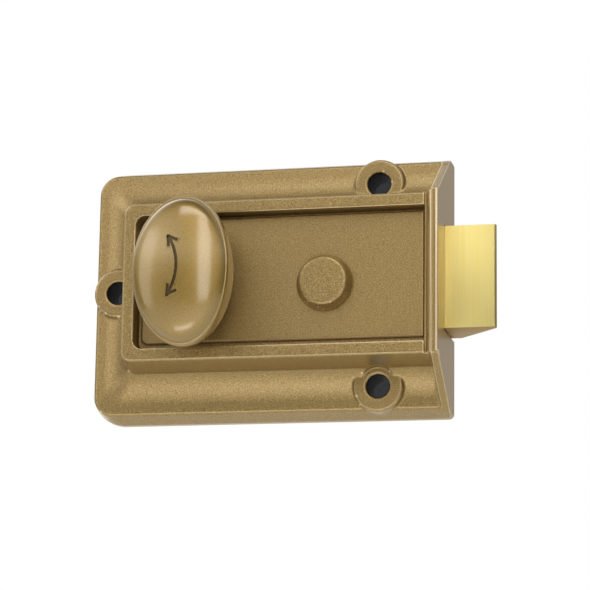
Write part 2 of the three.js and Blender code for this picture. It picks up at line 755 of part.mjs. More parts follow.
addPiece('case_cover', caseCover(), MATERIALS.bronze());
addPiece('back_plate', backPlate(), MATERIALS.steel());
PLATE_SCREWS.forEach(([x, z], i) => {
  addPiece(`back_plate_screw_${i + 1}`, plateScrew(x, z), MATERIALS.steel());
});
addPiece('latch_bolt', latchBolt(), MATERIALS.brass());
addPiece('bolt_tail', boltTail(), MATERIALS.steel());
TAIL_RIVETS.forEach(([name, z]) => addPiece(name, tailRivet(z), MATERIALS.steel()));
addPiece('drive_post', drivePost(), MATERIALS.steel());
addPiece('bolt_spring', boltSpring(), MATERIALS.springSteel());
addPiece('spring_guide_rod', springGuideRod(), MATERIALS.steel());
addPiece('spring_abutment', springAbutment(), MATERIALS.steel());
ABUTMENT_RIVETS.forEach(([name, z]) => addPiece(name, abutmentRivet(z), MATERIALS.steel()));
addPiece('knob', knob(), MATERIALS.glossBronze());
addPiece('knob_grub_screw', knobGrubScrew(), MATERIALS.steel());
addPiece('spindle', spindle(), MATERIALS.steel());
addPiece('spindle_bush', spindleBush(), MATERIALS.brass());
addPiece('spindle_clip', spindleClip(), MATERIALS.springSteel());
addPiece('retractor_cam', retractorCam(), MATERIALS.steel());
addPiece('cylinder_follower', cylinderFollower(), MATERIALS.brass());
addPiece('snib_plate', snibPlate(), MATERIALS.bronze());
addPiece('snib_button', snibButton(), MATERIALS.bronze());
addPiece('snib_stud', snibStud(), MATERIALS.steel());
addPiece('snib_catch', snibCatch(), MATERIALS.steel());
addPiece('snib_leaf_spring', snibLeafSpring(), MATERIALS.springSteel());
addPiece('snib_spring_screw', snibSpringScrew(), MATERIALS.steel());

export default group;
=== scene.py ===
"""Rim night latch in a plain studio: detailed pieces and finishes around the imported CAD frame."""
import json
import math

import bmesh
import bpy
from mathutils import Matrix, Vector


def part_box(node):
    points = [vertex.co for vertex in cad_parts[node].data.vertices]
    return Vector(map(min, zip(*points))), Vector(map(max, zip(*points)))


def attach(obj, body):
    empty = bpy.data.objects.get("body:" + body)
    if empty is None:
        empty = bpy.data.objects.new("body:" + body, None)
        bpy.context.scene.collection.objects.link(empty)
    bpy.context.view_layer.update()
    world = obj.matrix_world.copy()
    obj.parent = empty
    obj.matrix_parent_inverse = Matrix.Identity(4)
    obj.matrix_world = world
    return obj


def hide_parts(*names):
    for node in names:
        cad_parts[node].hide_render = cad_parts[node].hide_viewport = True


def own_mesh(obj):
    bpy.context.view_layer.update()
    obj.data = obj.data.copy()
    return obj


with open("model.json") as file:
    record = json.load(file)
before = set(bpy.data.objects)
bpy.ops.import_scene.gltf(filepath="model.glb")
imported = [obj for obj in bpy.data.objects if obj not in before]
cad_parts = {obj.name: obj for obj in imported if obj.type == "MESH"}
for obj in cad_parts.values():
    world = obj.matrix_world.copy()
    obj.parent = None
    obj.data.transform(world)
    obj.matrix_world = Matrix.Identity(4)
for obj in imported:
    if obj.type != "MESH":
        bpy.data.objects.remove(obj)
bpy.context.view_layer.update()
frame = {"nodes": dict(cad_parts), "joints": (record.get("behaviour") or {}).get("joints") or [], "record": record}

MM = 0.001  # pieces are drawn in millimetres and scaled to metres when they are finished


# ---------------------------------------------------------------- places taken from the frame

def box_mm(node):
    """Lowest and highest corner of a CAD node in millimetres."""
    low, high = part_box(node)
    return low / MM, high / MM


def middle(box):
    """The x and z of a box's middle."""
    low, high = box
    return (low.x + high.x) / 2, (low.z + high.z) / 2


def mount_mm(name):
    mounts = frame["record"]["mounts"]
    return Vector(next(m["pos_m"] for m in mounts if m["name"] == name)) / MM


def travel_m(joint):
    """How far a sliding joint moves from rest, in metres."""
    return next(-j["range_m"][0] for j in frame["joints"] if j["name"] == joint)


CASE_LOW, CASE_HIGH = box_mm("case_cover")
SEAT_LOW, SEAT_HIGH = box_mm("back_plate")
KNOB_LOW, KNOB_HIGH = box_mm("knob")
BOLT_LOW, BOLT_HIGH = box_mm("latch_bolt")
PLATE_LOW, PLATE_HIGH = box_mm("snib_plate")
BUTTON_LOW, BUTTON_HIGH = box_mm("snib_button")
SPRING_LOW, SPRING_HIGH = box_mm("bolt_spring")
SPINDLE_X = (KNOB_LOW.x + KNOB_HIGH.x) / 2
BUTTON = (BUTTON_LOW + BUTTON_HIGH) / 2
END_X = CASE_HIGH.x
HALF = CASE_HIGH.z
LIP = -CASE_LOW.y  # depth of the forend's lip; depths are counted from the door, towards the room
LUG = -mount_mm("upper_lug_seat").y
SEAT_OFFSET = 4.5  # from a lug's axis to the point where its seat is stated
LUGS = [
    (mount_mm("upper_lug_seat").x, mount_mm("upper_lug_seat").z - SEAT_OFFSET),
    (mount_mm("lower_lug_seat").x, mount_mm("lower_lug_seat").z + SEAT_OFFSET),
    (mount_mm("side_lug_seat").x + SEAT_OFFSET, 0),
]
SCREWS = [box_mm(f"back_plate_screw_{i}") for i in (1, 2, 3, 4)]
SNIB_TRAVEL = travel_m("snib_slide") / MM

# ---------------------------------------------------------------- measures, in millimetres

GAP = 0.3  # clearance round a neighbouring piece
CUT = 1  # how far a cutting tool reaches past the faces that it opens
TINY = 0.01  # keeps points apart where a turned skin closes on its axis or two round ends meet

# Depths of the case's faces, counted from the door
FLANGE_EDGE = 2.5
FLANGE = 7.9
FLANGE_FALL = 0.25  # the flange's fall towards its edge
FLANGE_INSET = 1.9  # from the case's edge to where the flange's face starts
CEILING = 15.4  # of the cavity behind the recess
RECESS = 16.6
FRAME = 21.2
BOSS_FOOT = 1.8  # where the back plate's screw bosses start

# The case's outlines
FRAME_HALF = 19.5
FRAME_LEFT = -33
RECESS_LEFT = -30
RECESS_RIGHT = 41.2
RECESS_HALF = 16.5
CAVITY_LEFT = -31
CAVITY_RIGHT = 41
CAVITY_HALF = 17.8
COVE = 3.6  # the cove's rise from the flange to the frame's wall
COVE_IN = 8.3  # from the frame's edge to where the cove starts on the flange
COVE_WIDTH = 7
CORNER = 7.8  # the case's corners away from the bolt
END_RADIUS = 1.3  # the case's corners at the forend
FOREND_THICKNESS = 1.9

# The lip's section as (distance in from the forend's face, depth): lip, crease, bead and slope
LIP_SECTION = [
    (0, 24.6), (0.03, 24.82), (0.12, 24.95), (0.3, LIP), (0.5, 24.97), (0.68, 24.8), (0.78, 24.5),
    (0.86, 23.8), (0.98, 22.9), (1.12, 22.45), (1.24, 22.65), (1.36, 23.05), (1.6, 23.17), (1.95, 23.26),
    (2.15, 23.15), (2.4, 22.8), (2.7, 22.2), (3, 21.6), (3.3, 21.05), (3.45, 20.85),
]
LIP_ENDS = [(19.75, 1.2), (19.65, 0.5), (19.45, 0.15), (19.15, 0)]  # (height, how far the lip has dropped)

# Knob
KNOB_HALF_WIDTH = (KNOB_HIGH.x - KNOB_LOW.x) / 2
KNOB_RIM = 31.2  # depth of the side band at the knob's ends, where it is narrowest
KNOB_FLARE = 21  # depth at which the neck starts to flare
CREASE_SHARE = 0.955  # where the dome starts, as a share of the knob's half width
NECK = 6  # radius
NECK_HOLE = 6.4  # radius of the hole round it in the snib's plate
STUD_HOLE = 1.8  # radius of the holes round the snib's stud


# ---------------------------------------------------------------- mesh tools

def make(name, verts, faces):
    mesh = bpy.data.meshes.new(name)
    mesh.from_pydata([tuple(v) for v in verts], [], faces)
    shell = bmesh.new()
    shell.from_mesh(mesh)
    bmesh.ops.remove_doubles(shell, verts=shell.verts, dist=1e-5)
    bmesh.ops.recalc_face_normals(shell, faces=shell.faces)
    shell.to_mesh(mesh)
    shell.free()
    piece = bpy.data.objects.new(name, mesh)
    bpy.context.scene.collection.objects.link(piece)
    return piece


def loft(name, rings):
    """A closed skin over rings of (x, y, z), all of one length."""
    count = len(rings[0])
    faces = []
    for r in range(len(rings) - 1):
        for i in range(count):
            j = (i + 1) % count
            faces.append((r * count + i, r * count + j, (r + 1) * count + j, (r + 1) * count + i))
    faces.append(tuple(reversed(range(count))))
    faces.append(tuple(range((len(rings) - 1) * count, len(rings) * count)))
    return make(name, [v for ring in rings for v in ring], faces)


def slab(name, outline, front, back):
    """An outline in x and z, between two depths."""
    return loft(name, [[(x, -depth, z) for x, z in outline] for depth in (back, front)])


def block(name, x0, x1, front, back, z0, z1):
    return slab(name, [(x0, z0), (x1, z0), (x1, z1), (x0, z1)], front, back)


def layer(name, outline, low, high):
    """An outline in x and y, between two heights."""
    return loft(name, [[(x, y, z) for x, y in outline] for z in (low, high)])


def circle(radius, sides):
    angles = [2 * math.pi * i / sides for i in range(sides)]
    return [(radius * math.cos(a), radius * math.sin(a)) for a in angles]


def turned(name, profile, x, z, sides):
    """A turned piece square to the door; the profile lists (radius, depth) from axis to axis."""
    rings = []
    for radius, depth in profile:
        rings.append([(x + across, -depth, z + up) for across, up in circle(radius, sides)])
    return loft(name, rings)


def bar(name, radius, start, end, x, z, sides=40):
    """A round bar square to the door, between two depths."""
    return turned(name, [(TINY, start), (radius, start), (radius, end), (TINY, end)], x, z, sides)


def bar_along_throw(name, radius, x0, x1, y, sides=32):
    """A round bar on the latch's centre line, along the bolt's throw."""
    return loft(name, [[(x, y + across, z) for across, z in circle(radius, sides)] for x in (x0, x1)])


def arc(cx, cz, radius, start, end, steps):
    """Points on a circle, angles in degrees."""
    angles = [math.radians(start + (end - start) * i / steps) for i in range(steps + 1)]
    return [(cx + radius * math.cos(a), cz + radius * math.sin(a)) for a in angles]


def rounded_rectangle(x0, x1, z0, z1, left, right=None, steps=12):
    right = left if right is None else right
    return (
        arc(x0 + left, z0 + left, left, 180, 270, steps)
        + arc(x1 - right, z0 + right, right, 270, 360, steps)
        + arc(x1 - right, z1 - right, right, 0, 90, steps)
        + arc(x0 + left, z1 - left, left, 90, 180, steps)
    )


def bake(piece):
    """Applies the piece's modifiers to its mesh."""
    depsgraph = bpy.context.evaluated_depsgraph_get()
    mesh = bpy.data.meshes.new_from_object(piece.evaluated_get(depsgraph))
    piece.modifiers.clear()
    piece.data = mesh
    return piece


def combine(piece, tools, operation):
    for tool in tools:
        modifier = piece.modifiers.new(tool.name, "BOOLEAN")
        modifier.operation = operation
        modifier.solver = "MANIFOLD"
        modifier.object = tool
    bake(piece)
    for tool in tools:
        bpy.data.objects.remove(tool)
    return piece


def cut(piece, *tools):
    return combine(piece, tools, "DIFFERENCE")


def join(piece, *tools):
    return combine(piece, tools, "UNION")


def soften(piece, voxel, passes):
    """Rounds every edge a little, as casting and enamel do."""
    remesh = piece.modifiers.new("voxels", "REMESH")
    remesh.mode = "VOXEL"
    remesh.voxel_size = voxel
    smooth = piece.modifiers.new("smooth", "SMOOTH")
    smooth.factor = 0.5
    smooth.iterations = passes
    return bake(piece)


def bevel(piece, width, angle):
    """Adds a modifier that rounds the edges sharper than the angle."""
    modifier = piece.modifiers.new("edge", "BEVEL")
    modifier.width = width
    modifier.segments = 2
    modifier.limit_method = "ANGLE"
    modifier.angle_limit = math.radians(angle)


def finish(piece, body, material, nodes, sharp):
    """Scales a piece to metres, gives it its finish and its body, and hides the CAD nodes that it stands for."""
    piece.data.transform(Matrix.Scale(MM, 4))
    piece.data.materials.clear()
    piece.data.materials.append(material)
    piece.data.shade_smooth()
    piece.data.set_sharp_from_angle(angle=math.radians(sharp))
    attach(piece, body)
    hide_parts(*nodes)


# ---------------------------------------------------------------- finishes

class Nodes:
    """A small helper that adds and links the nodes of one tree."""

    def __init__(self, tree):
        self.tree = tree

    def node(self, kind, **settings):
        node = self.tree.nodes.new(kind)
        for key, value in settings.items():
            setattr(node, key, value)
        return node

    def link(self, output, socket):
        self.tree.links.new(output, socket)

    def place(self, scale=(1, 1, 1)):
        """Object coordinates, multiplied by the scale."""
        mapping = self.node("ShaderNodeMapping")
        mapping.inputs["Scale"].default_value = scale
        self.link(self.node("ShaderNodeTexCoord").outputs["Object"], mapping.inputs["Vector"])
        return mapping.outputs["Vector"]

    def noise(self, vector, scale, detail=2, roughness=0.5):
        noise = self.node("ShaderNodeTexNoise")
        noise.inputs["Scale"].default_value = scale
        noise.inputs["Detail"].default_value = detail
        noise.inputs["Roughness"].default_value = roughness
        self.link(vector, noise.inputs["Vector"])
        return noise.outputs["Fac"]

    def ramp(self, value, stops):
        """Colours at increasing positions, from the first at the ramp's start to the last at its end."""
        ramp = self.node("ShaderNodeValToRGB")
        elements = ramp.color_ramp.elements
        elements[0].position = stops[0][0]
        elements[1].position = stops[-1][0]
        for position, _ in stops[1:-1]:
            elements.new(position)
        for element, (_, colour) in zip(elements, stops):
            element.color = (*colour, 1)
        self.link(value, ramp.inputs["Fac"])
        return ramp.outputs["Color"]

    def spread(self, value, low, high, source=(0, 1)):
        """A value mapped from its source range to low and high."""
        spread = self.node("ShaderNodeMapRange")
        spread.inputs["From Min"].default_value = source[0]
        spread.inputs["From Max"].default_value = source[1]
        spread.inputs["To Min"].default_value = low
        spread.inputs["To Max"].default_value = high
        self.link(value, spread.inputs["Value"])
        return spread.outputs["Result"]

    def mix(self, kind, factor, a, b):
        """Two colours mixed; inputs 6 and 7 and output 2 are the node's sockets for colours."""
        mix = self.node("ShaderNodeMix", data_type="RGBA", blend_type=kind)
        if isinstance(factor, (int, float)):
            mix.inputs["Factor"].default_value = factor
        else:
            self.link(factor, mix.inputs["Factor"])
        for value, socket in ((a, mix.inputs[6]), (b, mix.inputs[7])):
            if isinstance(value, tuple):
                socket.default_value = (*value, 1)
            else:
                self.link(value, socket)
        return mix.outputs[2]

    def bump(self, height, strength, distance, under=None):
        bump = self.node("ShaderNodeBump")
        bump.inputs["Strength"].default_value = strength
        bump.inputs["Distance"].default_value = distance
        self.link(height, bump.inputs["Height"])
        if under:
            self.link(under, bump.inputs["Normal"])
        return bump.outputs["Normal"]

    def along_x(self, source):
        """Painted shade that deepens along a span of x, in metres."""
        split = self.node("ShaderNodeSeparateXYZ")
        self.link(self.place(), split.inputs["Vector"])
        return self.spread(split.outputs["X"], 0, 0.8, source)

    def pointiness(self, low, high):
        """0 on flats, rising to 1 on outer edges or, where high is below low, in hollows."""
        return self.spread(self.node("ShaderNodeNewGeometry").outputs["Pointiness"], 0, 1, (low, high))


class Shader(Nodes):
    """The nodes of a new material, with its surface at hand."""

    def __init__(self, name):
        self.material = bpy.data.materials.new(name)
        self.material.use_nodes = True
        super().__init__(self.material.node_tree)
        self.surface = next(n for n in self.tree.nodes if n.type == "BSDF_PRINCIPLED")

    def feed(self, output, socket):
        """Links a value to the surface."""
        self.link(output, self.surface.inputs[socket])

    def constants(self, values):
        for socket, value in values.items():
            self.surface.inputs[socket].default_value = value


def scaled(colour, factor, lift):
    """A colour made lighter by a factor and a lift."""
    return tuple(min(1, factor * c + lift) for c in colour)


def enamel(name, dark, light, rough, contrast, grain, wear_and_painted_light=True, **surface):
    """Metallic bronze enamel with speckle, mottling and flakes and, if asked, pale edges (wear and a painted
    highlight) and dark hollows (painted shade).
    """
    shader = Shader(name)
    place = shader.place()
    speckle = shader.noise(place, scale=4600, detail=2, roughness=0.6)
    mottle = shader.noise(place, scale=1500, detail=3)
    cloud = shader.noise(place, scale=60, detail=2)
    tint = shader.ramp(speckle, [(0.5 - contrast, dark), (0.5 + contrast, light)])
    tint = shader.mix("MULTIPLY", shader.spread(mottle, 0, 0.24), tint, (0.72, 0.68, 0.62))
    tint = shader.mix("MULTIPLY", shader.spread(cloud, 0, 0.2), tint, (0.8, 0.78, 0.74))
    flakes = shader.spread(shader.noise(place, scale=2700, detail=1), 0, 0.6 * grain, (0.6, 0.74))
    tint = shader.mix("MIX", flakes, tint, scaled(light, 1.35, 0.06))
    if wear_and_painted_light:
        # Painted shade: hollows darkened towards a deep brown.
        hollow = shader.pointiness(0.491, 0.44)
        tint = shader.mix("MULTIPLY", shader.spread(hollow, 0, 0.65), tint, (0.32, 0.26, 0.17))
        # Pale edges: partly wear, partly a painted highlight along the rounded edges.
        edge = shader.pointiness(0.514, 0.555)
        tint = shader.mix("MIX", shader.spread(edge, 0, 0.7), tint, scaled(light, 1.2, 0.3))
    shader.feed(tint, "Base Color")
    shader.feed(shader.spread(speckle, rough - 0.08, rough + 0.1), "Roughness")
    grains = shader.bump(speckle, strength=grain, distance=0.00004)
    shader.feed(shader.bump(mottle, strength=0.1, distance=0.00008, under=grains), "Normal")
    shader.constants({"Metallic": 0.75, **surface})
    return shader.material


def brushed(name, dark, light, rough, scale, metallic=1.0, shade=None, **surface):
    """Metal linished in one direction: fine lines along the axis whose scale is smallest."""
    shader = Shader(name)
    lines = shader.noise(shader.place(scale), scale=1, detail=4, roughness=0.65)
    soft = shader.noise(shader.place(), scale=150, detail=3)
    tint = shader.ramp(lines, [(0.3, dark), (0.7, light)])
    tint = shader.mix("MULTIPLY", shader.spread(soft, 0, 0.25), tint, (0.8, 0.76, 0.7))
    # Painted shade: the colour darkens along a span of x.
    if shade:
        tint = shader.mix("MULTIPLY", shader.along_x(shade), tint, (0.42, 0.43, 0.46))
    shader.feed(tint, "Base Color")
    shader.feed(shader.spread(lines, rough - 0.07, rough + 0.1), "Roughness")
    shader.feed(shader.bump(lines, strength=0.25, distance=0.00003), "Normal")
    shader.constants({"Metallic": metallic, **surface})
    return shader.material


def bronze_enamel():
    """The case's satin coat."""
    return enamel(
        "bronze_enamel", dark=(0.2, 0.128, 0.036), light=(0.5, 0.345, 0.125), rough=0.38, contrast=0.17,
        grain=0.6, **{"Coat Weight": 0.6, "Coat Roughness": 0.3, "Specular Tint": (1, 0.92, 0.75, 1)},
    )


def gloss_bronze_enamel():
    """The knob's smoother and glossier coat."""
    return enamel(
        "gloss_bronze_enamel", dark=(0.262, 0.163, 0.028), light=(0.4, 0.256, 0.05), rough=0.42, contrast=0.2,
        grain=0.12, wear_and_painted_light=False, **{"Coat Weight": 1.0, "Coat Roughness": 0.15, "Coat IOR": 1.7},
    )


def engraving_painted_shade():
    """Painted shade on the bottom of the knob's engraving."""
    return enamel(
        "engraving_painted_shade", dark=(0.075, 0.046, 0.012), light=(0.13, 0.08, 0.021), rough=0.5, contrast=0.2,
        grain=0.12, wear_and_painted_light=False, **{"Coat Weight": 0.3, "Coat Roughness": 0.12},
    )


def painted_hole_shade():
    """Painted shade on the screw holes' walls: near black."""
    return brushed(
        "painted_hole_shade", dark=(0.003, 0.003, 0.0035), light=(0.01, 0.01, 0.011), rough=0.7,
        scale=(900, 900, 900), metallic=0, **{"Specular IOR Level": 0.12},
    )


# Near-black card: painted shade seen through the screw holes.
def painted_shade_card():
    return brushed(
        "painted_shade_card", dark=(0.03, 0.034, 0.036), light=(0.04, 0.044, 0.046), rough=0.8,
        scale=(2, 2, 2), metallic=0,
    )


def linished_brass():
    """The bolt's front, with lines along its height and painted shade darkening its end."""
    return brushed(
        "linished_brass", dark=(0.95, 0.745, 0.222), light=(0.985, 0.85, 0.35), rough=0.4,
        scale=(6500, 6500, 50), shade=(0.044, 0.057),
    )


def sawn_and_shaded_brass():
    """The bolt's other faces: a duller sawn finish, with painted shade darkening it."""
    return brushed(
        "sawn_and_shaded_brass", dark=(0.36, 0.24, 0.085), light=(0.5, 0.34, 0.13), rough=0.5, scale=(2200, 3800, 3800)
    )


def turned_brass():
    return brushed(
        "turned_brass", dark=(0.6, 0.43, 0.14), light=(0.76, 0.57, 0.22), rough=0.34, scale=(900, 4000, 900)
    )


def zinc_plated_steel():
    return brushed(
        "zinc_plated_steel", dark=(0.4, 0.41, 0.42), light=(0.58, 0.59, 0.6), rough=0.36,
        scale=(260, 2600, 2600),
    )


def spring_steel():
    return brushed(
        "spring_steel", dark=(0.2, 0.21, 0.23), light=(0.36, 0.37, 0.4), rough=0.28,
        scale=(2500, 2500, 2500),
    )


BRONZE = bronze_enamel()
GLOSS_BRONZE = gloss_bronze_enamel()
ENGRAVING_SHADE = engraving_painted_shade()
HOLE_SHADE = painted_hole_shade()
SHADE_CARD = painted_shade_card()
BRASS = linished_brass()
DULL_SHADED_BRASS = sawn_and_shaded_brass()
TURNED_BRASS = turned_brass()
STEEL = zinc_plated_steel()
SPRING_STEEL = spring_steel()


# ---------------------------------------------------------------- case

def case_ring(inset, depth, radius):
    """The case's outline at a depth, drawn in from its edge; its left side comes in by its own share."""
    left_share = (FRAME_LEFT - CASE_LOW.x) / (HALF - FRAME_HALF)
    outline = rounded_rectangle(
        CASE_LOW.x + inset * left_share, END_X, -HALF + inset, HALF - inset, radius, END_RADIUS, 14
    )
    return [(x, -depth, z) for x, z in outline]


def cove_point(share):
    """How far in and how high the cove is, from the flange (0) to the frame's wall (1)."""
    across = math.sin(math.pi / 2 * share)
    power = 1.5  # below 2, so that the sweep is flatter than a quarter of an ellipse
    slope = FLANGE_FALL / (HALF - FRAME_HALF - COVE_IN - FLANGE_INSET)
    straight = slope * COVE_WIDTH * across
    curve = (COVE - slope * COVE_WIDTH) * (1 - (1 - across ** power) ** (1 / power))
    return COVE_WIDTH * across, straight + curve


def case_shell():
    """The body: flange with a sloping edge, cove, wall and frame."""
    cove_in = HALF - FRAME_HALF - COVE_IN
    rings = [
        case_ring(0, 0, CORNER),
        case_ring(0, FLANGE_EDGE, CORNER),
        case_ring(FLANGE_INSET - 0.4, FLANGE - FLANGE_FALL - 0.4, CORNER - 3),
        case_ring(FLANGE_INSET, FLANGE - FLANGE_FALL, CORNER - 3.4),
    ]
    steps = 20
    for step in range(steps + 1):
        across, rise = cove_point(step / steps)
        rings.append(case_ring(cove_in + across, FLANGE + rise, 3.4 - 0.6 * step / steps))
    rings.append(case_ring(HALF - FRAME_HALF, FRAME - GAP, 2.6))
    rings.append(case_ring(HALF - FRAME_HALF + GAP, FRAME, 2.4))
    return loft("case_cover_body", rings)


def forend_outline():
    """The forend seen from the bolt's side, as (z, depth) from the upper edge round to the lower one."""
    slope = [
        (HALF, 0), (HALF, FLANGE_EDGE), (HALF - 1.1, FLANGE - 1.3), (HALF - 1.8, FLANGE),
        (HALF - 3, FLANGE + 1.6), (FRAME_HALF + 1, LIP - 2.4), (FRAME_HALF + 0.4, LIP - 1.5),
    ]
    return slope + [(-z, depth) for z, depth in reversed(slope)]


def prism_along_x(name, outline, x0, x1):
    return loft(name, [[(x, -depth, z) for z, depth in outline] for x in (x0, x1)])


def forend_plate():
    """The plate that closes the case at the bolt's end."""
    plate = prism_along_x("case_cover_forend", forend_outline(), END_X - FOREND_THICKNESS, END_X)
    ends = rounded_rectangle(0, END_X, -HALF, HALF, 1, END_RADIUS)
    behind_door_plane = -0.001
    return combine(plate, [slab("ends", ends, LIP + CUT, behind_door_plane)], "INTERSECT")


def forend_fillet():
    """The sweep between the cove and the forend's inner side."""
    width, height = 2.2, 1.5
    sunk = 0.06  # below the cove at its far end, so that the skins cross
    overlap = 0.2  # into the forend
    reach = 6  # of the space that the fillet is kept within
    steps = 10
    rings = []
    for step in range(steps + 1):
        away = 1 - step / steps
        rise = height * (1 - math.sqrt(max(0, 1 - (1 - away) ** 2))) - sunk
        x = END_X - FOREND_THICKNESS + overlap - (width + overlap) * away
        rings.append([(x, y, z) for y, z in cove_outline(rise)])
    fillet = loft("case_cover_fillet", rings)
    limit = prism_along_x("limit", forend_outline(), END_X - reach, END_X)
    return combine(fillet, [limit], "INTERSECT")


def cove_outline(rise):
    """The section of the case across the throw, as (y, z), grown outwards by the rise."""
    points = [(0, HALF - 0.1), (FLANGE_EDGE, HALF - 0.1), (FLANGE - FLANGE_FALL - 0.05, HALF - 2)]
    steps = 14
    places = [cove_point(step / steps) for step in range(steps + 1)]
    for step, (across, up) in enumerate(places):
        before = places[max(0, step - 1)]
        after = places[min(steps, step + 1)]
        slope = Vector((after[0] - before[0], after[1] - before[1])).normalized()
        points.append((FLANGE + up + rise * slope.x, FRAME_HALF + COVE_IN - across + rise * slope.y))
    points.append((FRAME, FRAME_HALF + 0.1 + rise))
    points.append((FRAME + rise, FRAME_HALF - 1))
    return [(-depth, z) for depth, z in points] + [(-depth, -z) for depth, z in reversed(points)]


def forend_lip():
    """The moulding along the forend's front edge: lip, crease, bead and slope, rounded at its ends."""
    front = [(END_X - inwards, depth) for inwards, depth in LIP_SECTION]
    front.append((RECESS_RIGHT, LIP_SECTION[-1][1]))
    stations = [(-z, drop) for z, drop in LIP_ENDS] + [(z, drop) for z, drop in reversed(LIP_ENDS)]
    return loft("case_cover_lip", [
        [(RECESS_RIGHT, -RECESS, z), (END_X, -RECESS, z)] + [(x, -(depth - drop), z) for x, depth in front]
        for z, drop in stations
    ])


def screw_lug(x, z):
    radius = 6.4
    profile = [
        (TINY, 0), (radius, 0), (radius - 0.2, LUG - 0.9), (radius - 0.28, LUG - 0.45),
        (radius - 0.5, LUG - 0.15), (radius - 0.8, LUG), (TINY, LUG),
    ]
    return turned("lug", profile, x, z, 72)


def screw_hole(x, z):
    """The through hole with its lead-in, and room for the screw's head in the cove's wall."""
    radius, lead_in, head, head_depth = 2.75, 3.25, 4.65, 3.2
    profile = [
        (TINY, -CUT), (radius, -CUT), (radius, LUG - 0.45), (lead_in, LUG + 0.05), (head, LUG + 0.05),
        (head, LUG + head_depth), (TINY, LUG + head_depth),
    ]
    return turned("hole", profile, x, z, 72)


def stud_slot():
    """The slot in which the snib's stud slides."""
    x, z = middle(box_mm("snib_stud"))
    half = STUD_HOLE
    outline = rounded_rectangle(x - half, x + half, z - SNIB_TRAVEL - half, z + half, half - TINY)
    return slab("stud_slot", outline, RECESS + CUT, CEILING - CUT)


def bolt_window():
    gap = 0.35
    return block(
        "window", CAVITY_RIGHT - CUT, END_X + CUT, -BOLT_LOW.y + gap, -CUT,
        BOLT_LOW.z - gap, BOLT_HIGH.z + gap,
    )


def valley():
    """The shallow groove between the frame's rails and the lip."""
    right, width, depth = END_X - 3.25, 0.6, 0.5
    reach = FRAME_HALF + CUT
    return block("valley", right - width, right, FRAME + 0.1, FRAME - depth, -reach, reach)


def case_openings():
    """The recess and its parts, the cavity behind it, and every hole through the case."""
    recess = rounded_rectangle(RECESS_LEFT, RECESS_RIGHT, -RECESS_HALF, RECESS_HALF, 2.3, 0.3)
    cavity = rounded_rectangle(CAVITY_LEFT, CAVITY_RIGHT, -CAVITY_HALF, CAVITY_HALF, 2)
    seat = rounded_rectangle(SEAT_LOW.x - GAP, SEAT_HIGH.x + GAP, SEAT_LOW.z - GAP, SEAT_HIGH.z + GAP, 1.5)
    bush_radius = 4.9
    return [
        slab("recess", recess, LIP + CUT, RECESS),
        slab("cavity", cavity, CEILING, -CUT),
        slab("seat", seat, BOSS_FOOT, -CUT),
        bolt_window(),
        bar("bush_hole", bush_radius, CEILING - CUT, RECESS + CUT, SPINDLE_X, 0, 64),
        stud_slot(),
        valley(),
        *[screw_hole(x, z) for x, z in LUGS],
    ]


def add_bosses(case):
    """Bosses inside the case for the back plate's screws and the snib spring's, with their pilot holes."""
    spring_screw = middle(box_mm("snib_spring_screw"))
    boss, pilot, pilot_end = 2.3, 1.4, 8.6
    spring_boss, spring_pilot, spring_boss_foot, spring_pilot_end = 2.2, 1.1, 12.5, 15
    buried = CEILING + 0.5
    bosses = [bar("boss", boss, BOSS_FOOT, buried, *middle(screw)) for screw in SCREWS]
    bosses.append(bar("boss", spring_boss, spring_boss_foot, buried, *spring_screw))
    pilots = [bar("pilot", pilot, -CUT, pilot_end, *middle(screw), 32) for screw in SCREWS]
    pilots.append(bar("pilot", spring_pilot, spring_boss_foot - 0.5, spring_pilot_end, *spring_screw, 32))
    join(case, *bosses)
    cut(case, *pilots)


def case_cover():
    case = case_shell()
    join(case, forend_fillet(), forend_plate(), *[screw_lug(x, z) for x, z in LUGS])
    cut(case, *case_openings())
    add_bosses(case)
    case.name = "case_cover_casting"
    soften(case, 0.22, 2)
    join(case, forend_lip())
    finish(case, "case", BRONZE, ["case_cover"], 50)
    shade_screw_holes(case)


def shade_screw_holes(case):
    """Paints the walls of the screw holes near black, as painted shade."""
    case.data.materials.append(HOLE_SHADE)
    for face in case.data.polygons:
        centre = face.center / MM
        near = min(math.hypot(centre.x - x, centre.z - z) for x, z in LUGS)
        if near < 3 and -centre.y < LUG - 0.3:
            face.material_index = 1


# ---------------------------------------------------------------- knob

def dome_depth(x, z):
    """Depth of the knob's domed face over a place that is given from the spindle's axis."""
    across, up = x / KNOB_HALF_WIDTH, z / KNOB_HIGH.z
    angle = math.atan2(up, across)
    return crease_depth(angle) + dome_rise(math.hypot(across, up), angle)


def dome_rise(share, angle):
    """A shallow dome that rolls over steeply in its outermost part."""
    reach = share / CREASE_SHARE
    roll = 22  # the power by which the outermost part falls away
    shallow = 0.86 - 0.2 * math.sin(angle) ** 2
    full = -KNOB_LOW.y - crease_depth(angle)
    return full * (1 - shallow * reach ** 2 - (1 - shallow) * reach ** roll)


def crease_depth(angle):
    """Depth of the crease between the side band and the dome, furthest from the door at the knob's sides."""
    return KNOB_RIM + 0.9 + 2.6 * math.cos(angle) ** 2


def knob_ring(share, depth_at, neck_share=0):
    """A section of the knob, from its full oval (neck_share 0) to its round neck (1)."""
    ring = []
    for across, up in circle(1, 72):
        width = KNOB_HALF_WIDTH * share * (1 - neck_share) + NECK * neck_share
        height = KNOB_HIGH.z * share * (1 - neck_share) + NECK * neck_share
        ring.append((SPINDLE_X + width * across, -depth_at(math.atan2(up, across)), height * up))
    return ring


def level_ring(share, depth, neck_share=0):
    return knob_ring(share, lambda angle: depth, neck_share)


